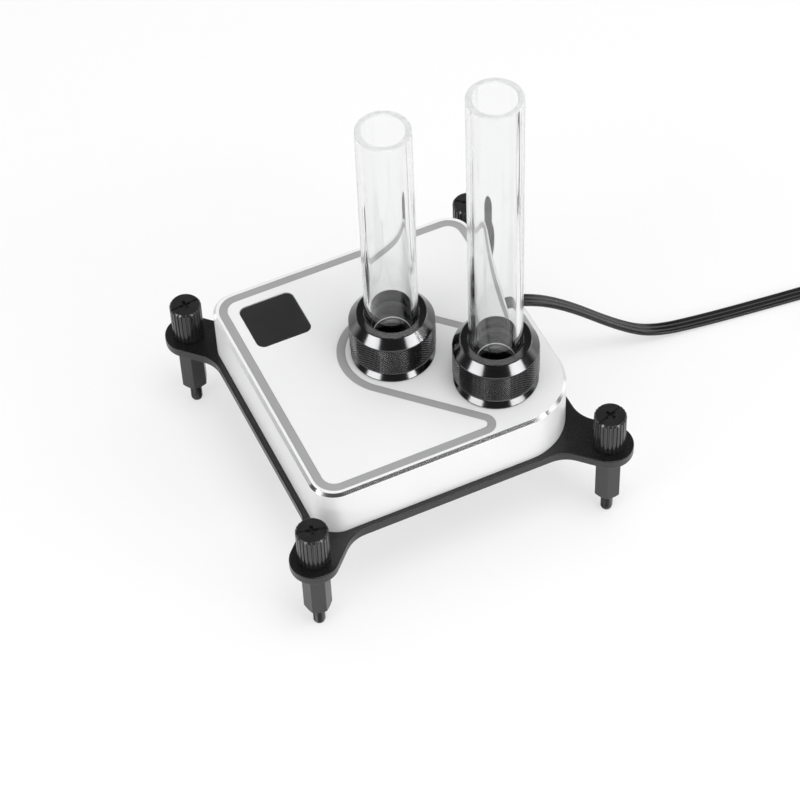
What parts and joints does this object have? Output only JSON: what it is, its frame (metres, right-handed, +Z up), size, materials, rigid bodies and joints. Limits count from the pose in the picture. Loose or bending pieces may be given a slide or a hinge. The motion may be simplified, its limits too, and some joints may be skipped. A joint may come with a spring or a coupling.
{
  "type": "cpu water block",
  "caption": "Square liquid cooling block with a white cover, an X-eared screw bracket on hex standoffs, two compression fittings with clear tubes, and a flat lighting lead.",
  "frame": {"origin": "on the floor (the tips of the four studs), under the centre of the four mounting screws", "axes": "+Z up along the tubes, +X towards the side the lead leaves, +Y along the bracket away from the outlet's corner"},
  "size_m": [0.2081, 0.0965, 0.1317],
  "materials": {
    "white_cover": "satin white powder coat",
    "light_guide": "smoked translucent, smooth",
    "badge_black": "smooth",
    "black_metal": "satin black powder coat",
    "chamber_black": "matt moulded acetal",
    "seal_rubber": "smooth",
    "nickel": "nickel-plated copper, fine machined",
    "steel": "bright",
    "spring_steel": "bright wire",
    "ring_black": "smooth moulded acetal",
    "board_black": "black solder mask",
    "led_lens": "clear lens in a white body",
    "header_white": "natural nylon",
    "standoff_black": "black plated steel, satin",
    "screw_black": "black plated steel, semi-gloss",
    "fitting_black": "black plated brass, glossy",
    "clear_tube": "clear, polished",
    "lead_black": "satin PVC",
    "tie_black": "matt nylon",
    "plug_black": "matt nylon"
  },
  "bodies": {
    "block": {"badge_plate": "badge_black", "base_gasket": "seal_rubber", "base_screws": "steel", "bracket": "black_metal", "chamber_body": "chamber_black", "cold_plate": "nickel", "cover": "white_cover", "cover_screws": "steel", "inlet_face_seal": "seal_rubber", "inlet_fitting_body": "fitting_black", "inlet_inner_seal": "seal_rubber", "inlet_outer_seal": "seal_rubber", "inlet_tube": "clear_tube", "jet_plate": "steel", "lead_connector": "plug_black", "lead_tie": "tie_black", "led_board": "board_black", "led_header": "header_white", "led_lead": "lead_black", "led_lead_coil": "lead_black", "leds": "led_lens", "light_guide": "light_guide", "outlet_face_seal": "seal_rubber", "outlet_fitting_body": "fitting_black", "outlet_inner_seal": "seal_rubber", "outlet_outer_seal": "seal_rubber", "outlet_tube": "clear_tube", "standoffs": "standoff_black"},
    "inlet_ring": {"inlet_compression_ring": "ring_black"},
    "inlet_collar": {"inlet_collar": "fitting_black"},
    "outlet_ring": {"outlet_compression_ring": "ring_black"},
    "outlet_collar": {"outlet_collar": "fitting_black"},
    "thumb_spring_1": {"thumb_spring_1": "spring_steel"},
    "thumb_screw_1": {"thumb_screw_1": "screw_black"},
    "thumb_spring_2": {"thumb_spring_2": "spring_steel"},
    "thumb_screw_2": {"thumb_screw_2": "screw_black"},
    "thumb_spring_3": {"thumb_spring_3": "spring_steel"},
    "thumb_screw_3": {"thumb_screw_3": "screw_black"},
    "thumb_spring_4": {"thumb_spring_4": "spring_steel"},
    "thumb_screw_4": {"thumb_screw_4": "screw_black"}
  },
  "joints": [
    {"name": "inlet_collar_lift", "type": "slide", "parent": "block", "child": "inlet_ring", "axis": [0, 0, 1], "range_m": [0, 0.006]},
    {"name": "inlet_collar_turn", "type": "hinge", "parent": "inlet_ring", "child": "inlet_collar", "pos_m": [0, 0, 0.047], "axis": [0, 0, 1], "range_deg": [0, 2160]},
    {"name": "outlet_collar_lift", "type": "slide", "parent": "block", "child": "outlet_ring", "axis": [0, 0, 1], "range_m": [0, 0.006]},
    {"name": "outlet_collar_turn", "type": "hinge", "parent": "outlet_ring", "child": "outlet_collar", "pos_m": [0.0186, -0.0186, 0.047], "axis": [0, 0, 1], "range_deg": [0, 2160]},
    {"name": "screw_1_lift", "type": "slide", "parent": "block", "child": "thumb_spring_1", "axis": [0, 0, 1], "range_m": [0, 0.0055], "deforming": ["thumb_spring_1"]},
    {"name": "screw_1_turn", "type": "hinge", "parent": "thumb_spring_1", "child": "thumb_screw_1", "pos_m": [-0.039, -0.039, 0.03], "axis": [0, 0, 1], "range_deg": [0, 3960]},
    {"name": "screw_2_lift", "type": "slide", "parent": "block", "child": "thumb_spring_2", "axis": [0, 0, 1], "range_m": [0, 0.0055], "deforming": ["thumb_spring_2"]},
    {"name": "screw_2_turn", "type": "hinge", "parent": "thumb_spring_2", "child": "thumb_screw_2", "pos_m": [0.039, -0.039, 0.03], "axis": [0, 0, 1], "range_deg": [0, 3960]},
    {"name": "screw_3_lift", "type": "slide", "parent": "block", "child": "thumb_spring_3", "axis": [0, 0, 1], "range_m": [0, 0.0055], "deforming": ["thumb_spring_3"]},
    {"name": "screw_3_turn", "type": "hinge", "parent": "thumb_spring_3", "child": "thumb_screw_3", "pos_m": [0.039, 0.039, 0.03], "axis": [0, 0, 1], "range_deg": [0, 3960]},
    {"name": "screw_4_lift", "type": "slide", "parent": "block", "child": "thumb_spring_4", "axis": [0, 0, 1], "range_m": [0, 0.0055], "deforming": ["thumb_spring_4"]},
    {"name": "screw_4_turn", "type": "hinge", "parent": "thumb_spring_4", "child": "thumb_screw_4", "pos_m": [-0.039, 0.039, 0.03], "axis": [0, 0, 1], "range_deg": [0, 3960]}
  ],
  "couplings": [
    {"joint": "inlet_collar_turn", "follows": "inlet_collar_lift", "rad_per_m": 6283.2},
    {"joint": "outlet_collar_turn", "follows": "outlet_collar_lift", "rad_per_m": 6283.2},
    {"joint": "screw_1_turn", "follows": "screw_1_lift", "rad_per_m": 12566},
    {"joint": "screw_2_turn", "follows": "screw_2_lift", "rad_per_m": 12566},
    {"joint": "screw_3_turn", "follows": "screw_3_lift", "rad_per_m": 12566},
    {"joint": "screw_4_turn", "follows": "screw_4_lift", "rad_per_m": 12566}
  ]
}
